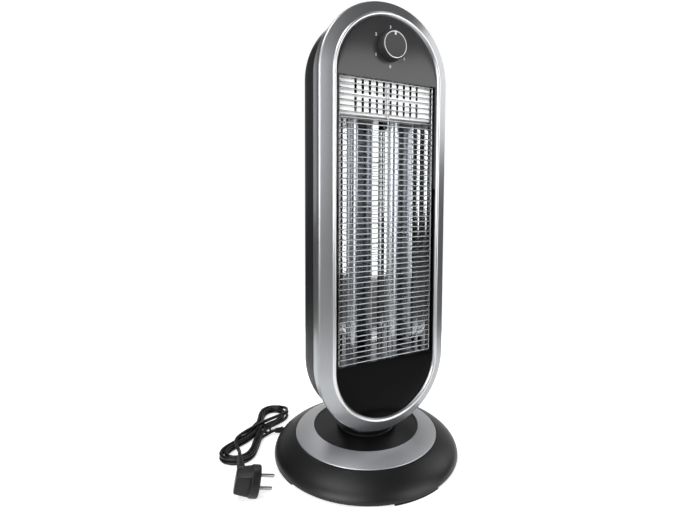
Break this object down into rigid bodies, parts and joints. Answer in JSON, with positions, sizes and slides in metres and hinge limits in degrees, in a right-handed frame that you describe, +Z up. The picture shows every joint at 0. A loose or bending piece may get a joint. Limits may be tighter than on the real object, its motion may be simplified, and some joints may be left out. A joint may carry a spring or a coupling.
{
  "type": "infrared heater",
  "caption": "Upright infrared heater: an oblong head with twin carbon tubes behind a wire guard swings on a round weighted base; dial on top, mains lead in a tied hank.",
  "frame": {"origin": "on the floor, under the swing axis at the centre of the round base", "axes": "+Z up along the swing axis; -Y is the front, where the guard and the dial face; +X to the right as seen from behind a viewer who faces +Y"},
  "size_m": [0.3525, 0.3185, 0.6541],
  "materials": {
    "black_plastic": "satin black",
    "gloss_black": "gloss black",
    "silver_paint": "satin metallic silver-grey",
    "chrome_wire": "chrome plated",
    "bright_sheet": "bright polished",
    "zinc_steel": "zinc plated",
    "dark_iron": "as cast",
    "quartz": "clear",
    "carbon": "matte carbon ribbon",
    "ceramic": "unglazed ceramic",
    "black_rubber": "matte",
    "cord_cover": "smooth PVC",
    "nylon": "natural"
  },
  "bodies": {
    "base": {"base_shell": "black_plastic", "trim_ring": "silver_paint", "base_plate": "black_plastic", "counterweight": "dark_iron", "base_screw_1": "zinc_steel", "base_screw_2": "zinc_steel", "base_screw_3": "zinc_steel", "base_screw_4": "zinc_steel", "foot_front": "black_rubber", "foot_right": "black_rubber", "foot_rear": "black_rubber", "foot_left": "black_rubber", "tip_switch": "black_plastic", "tip_spring": "zinc_steel", "swivel_motor": "zinc_steel", "thrust_washer": "nylon", "inner_lead": "cord_cover", "cord_clamp": "nylon", "cord_outlet": "black_rubber", "cord_lead": "cord_cover", "cord_hank": "cord_cover", "hank_tie": "black_rubber", "cord_tail": "cord_cover", "plug_body": "black_rubber", "plug_pin_1": "chrome_wire", "plug_pin_2": "chrome_wire"},
    "crank": {"crank": "nylon"},
    "plunger": {"tip_plunger": "nylon"},
    "head": {"neck": "black_plastic", "swing_arm": "zinc_steel", "arm_nut": "zinc_steel", "neck_nut": "nylon", "front_frame": "silver_paint", "rear_shell": "black_plastic", "shell_screw_1": "zinc_steel", "shell_screw_2": "zinc_steel", "shell_screw_3": "zinc_steel", "shell_screw_4": "zinc_steel", "front_panel": "gloss_black", "wire_guard": "chrome_wire", "vent_plate": "bright_sheet", "reflector": "bright_sheet", "heat_shield": "zinc_steel", "lower_end_plate": "bright_sheet", "upper_end_plate": "bright_sheet", "thermal_cutout": "zinc_steel", "quartz_tube_1": "quartz", "quartz_tube_2": "quartz", "carbon_filament_1": "carbon", "carbon_filament_2": "carbon", "lower_tube_cap_1": "ceramic", "lower_tube_cap_2": "ceramic", "upper_tube_cap_1": "ceramic", "upper_tube_cap_2": "ceramic", "rotary_switch": "black_plastic"},
    "dial": {"knob": "black_plastic", "knob_ring": "chrome_wire", "knob_spindle": "zinc_steel"}
  },
  "joints": [
    {"name": "head_swing", "type": "hinge", "parent": "base", "child": "head", "pos_m": [0, 0, 0.0383], "axis": [0, 0, 1], "range_deg": [-37.5, 37.5]},
    {"name": "crank_turn", "type": "hinge", "parent": "base", "child": "crank", "pos_m": [0.032, 0, 0.027], "axis": [0, 0, 1], "range_deg": [-127.5, 127.5]},
    {"name": "dial_turn", "type": "hinge", "parent": "head", "child": "dial", "pos_m": [0, -0.0615, 0.5925], "axis": [0, -1, 0], "range_deg": [-120, 180]},
    {"name": "plunger_drop", "type": "slide", "parent": "base", "child": "plunger", "axis": [0, 0, -1], "range_m": [0, 0.006], "stiffness_N_per_m": 60, "springref_m": 0.008}
  ],
  "couplings": [
    {"joint": "crank_turn", "follows": "head_swing", "ratio": 3.4}
  ]
}
